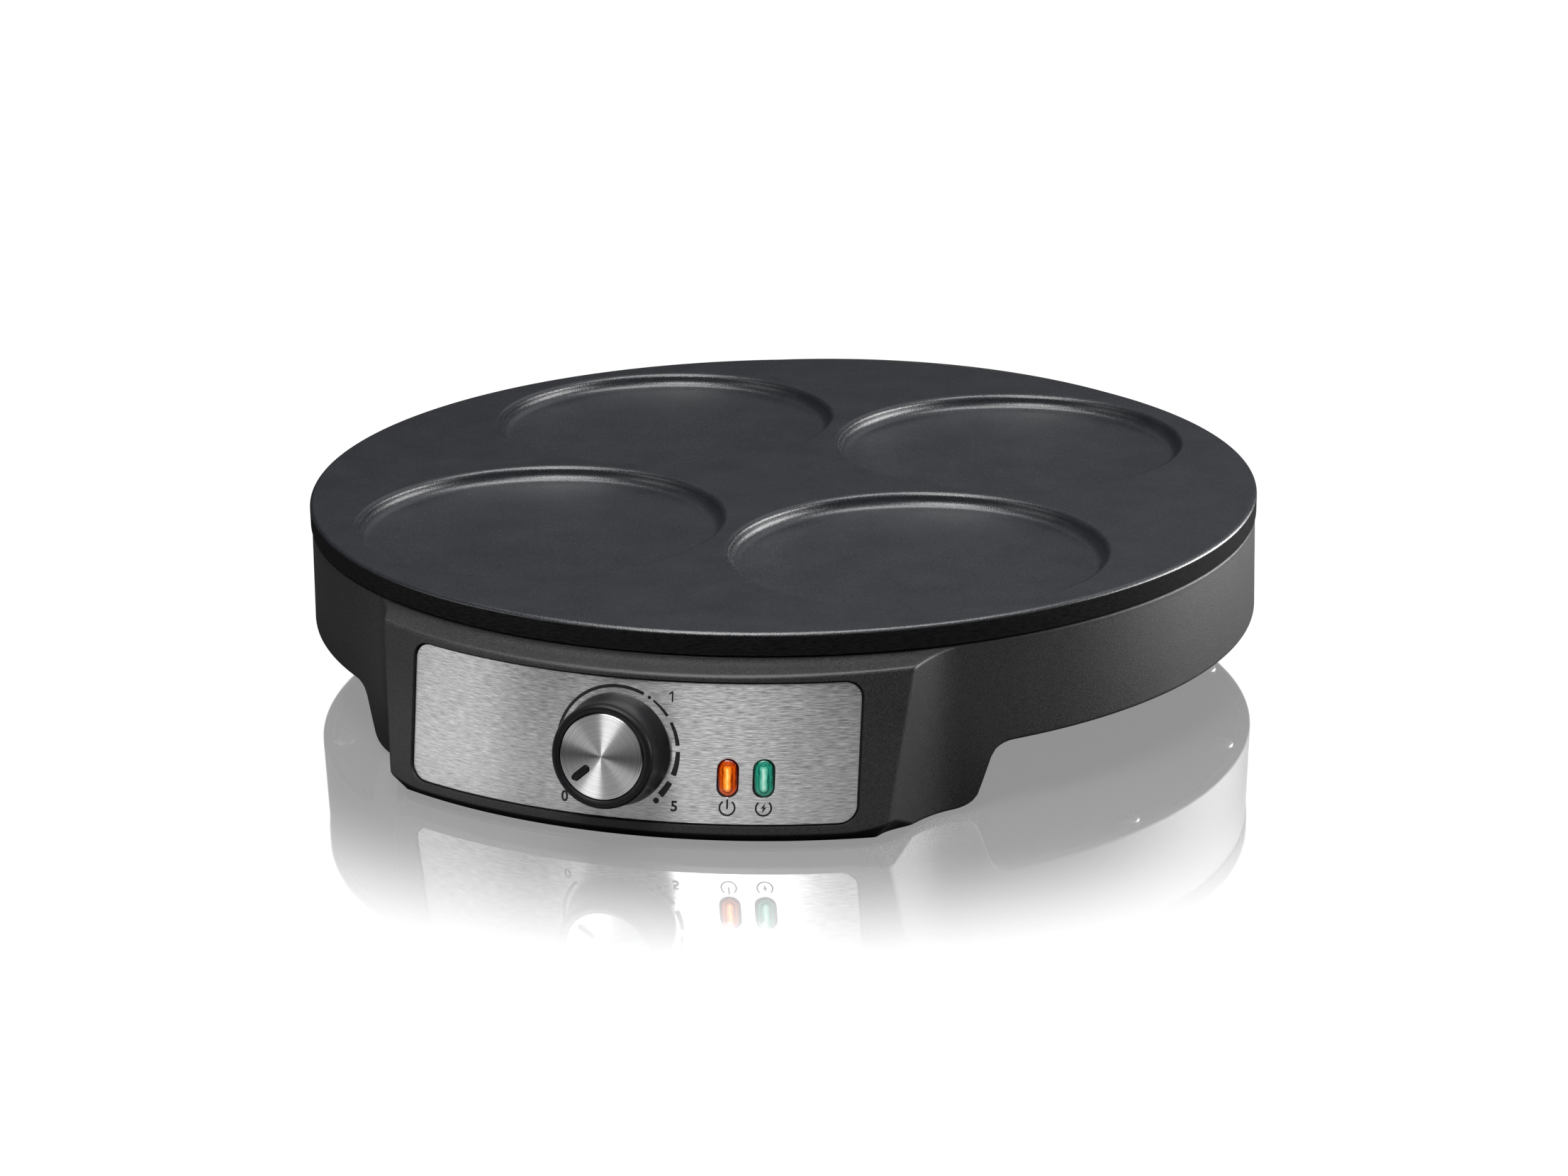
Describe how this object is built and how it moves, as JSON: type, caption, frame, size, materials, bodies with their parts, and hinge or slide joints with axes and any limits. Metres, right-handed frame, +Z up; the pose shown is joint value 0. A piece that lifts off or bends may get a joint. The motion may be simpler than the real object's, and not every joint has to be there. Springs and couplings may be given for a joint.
{
  "type": "electric pancake maker",
  "caption": "Free-standing electric pancake maker with a round non-stick plate of shallow round pans on a low lobed housing, and a leaning front panel with a thermostat knob.",
  "frame": {"origin": "middle of the footprint's bounding box, at the height of the rubber feet's soles", "axes": "+Z up, -Y towards the front with the control panel and knob, +X to the right as seen from the front"},
  "size_m": [0.3006, 0.3461, 0.058],
  "materials": {
    "non_stick": "cast aluminium with a matte black non-stick coating",
    "housing_plastic": "charcoal plastic with a fine grain",
    "panel_steel": "sheet steel brushed from side to side",
    "spun_aluminium": "spun disc",
    "knob_plastic": "black satin plastic",
    "orange_lens": "clear orange plastic",
    "green_lens": "clear green plastic",
    "lamp_glass": "clear glass",
    "zinc_plated_steel": "zinc-plated steel",
    "element_steel": "oxidised steel tube",
    "brass": "turned brass",
    "copper": "drawn copper",
    "steatite": "unglazed technical ceramic",
    "rubber": "moulded black rubber",
    "insulation_brown": "brown wire insulation",
    "insulation_blue": "blue wire insulation",
    "insulation_white": "white glass-fibre sleeving",
    "nylon": "pale nylon"
  },
  "bodies": {
    "base": {"baking_plate": "non_stick", "base_cover": "housing_plastic", "base_screw_1": "zinc_plated_steel", "base_screw_2": "zinc_plated_steel", "base_screw_3": "zinc_plated_steel", "base_screw_4": "zinc_plated_steel", "base_screw_5": "zinc_plated_steel", "base_screw_6": "zinc_plated_steel", "bracket_screw_1": "zinc_plated_steel", "bracket_screw_2": "zinc_plated_steel", "bulb_clip": "zinc_plated_steel", "capillary_tube": "copper", "control_panel": "panel_steel", "cord_grommet": "rubber", "element_pin_left": "brass", "element_pin_right": "brass", "fuse_clip": "zinc_plated_steel", "heat_reflector": "zinc_plated_steel", "heating_element": "element_steel", "housing_shell": "housing_plastic", "lamp_holder": "nylon", "lamp_power": "lamp_glass", "lamp_ready": "lamp_glass", "lens_power": "orange_lens", "lens_ready": "green_lens", "plate_screw_1": "zinc_plated_steel", "plate_screw_2": "zinc_plated_steel", "plate_screw_3": "zinc_plated_steel", "plate_screw_4": "zinc_plated_steel", "rubber_foot_1": "rubber", "rubber_foot_2": "rubber", "rubber_foot_3": "rubber", "rubber_foot_4": "rubber", "sensor_bulb": "copper", "spacer_1": "zinc_plated_steel", "spacer_2": "zinc_plated_steel", "spacer_3": "zinc_plated_steel", "spacer_4": "zinc_plated_steel", "terminal_block": "nylon", "thermal_fuse": "steatite", "thermostat_body": "steatite", "thermostat_bracket": "zinc_plated_steel", "thermostat_nut": "brass", "wire_element": "insulation_brown", "wire_lamp_power": "insulation_white", "wire_lamp_ready": "insulation_white", "wire_live": "insulation_brown", "wire_neutral": "insulation_blue", "wire_thermostat": "insulation_brown"},
    "knob": {"knob_body": "knob_plastic", "knob_cap": "spun_aluminium", "thermostat_shaft": "zinc_plated_steel"}
  },
  "joints": [
    {"name": "knob_turn", "type": "hinge", "parent": "base", "child": "knob", "pos_m": [0, -0.15877, 0.0267], "axis": [0, 0.9834, -0.1814], "range_deg": [0, 270]}
  ]
}
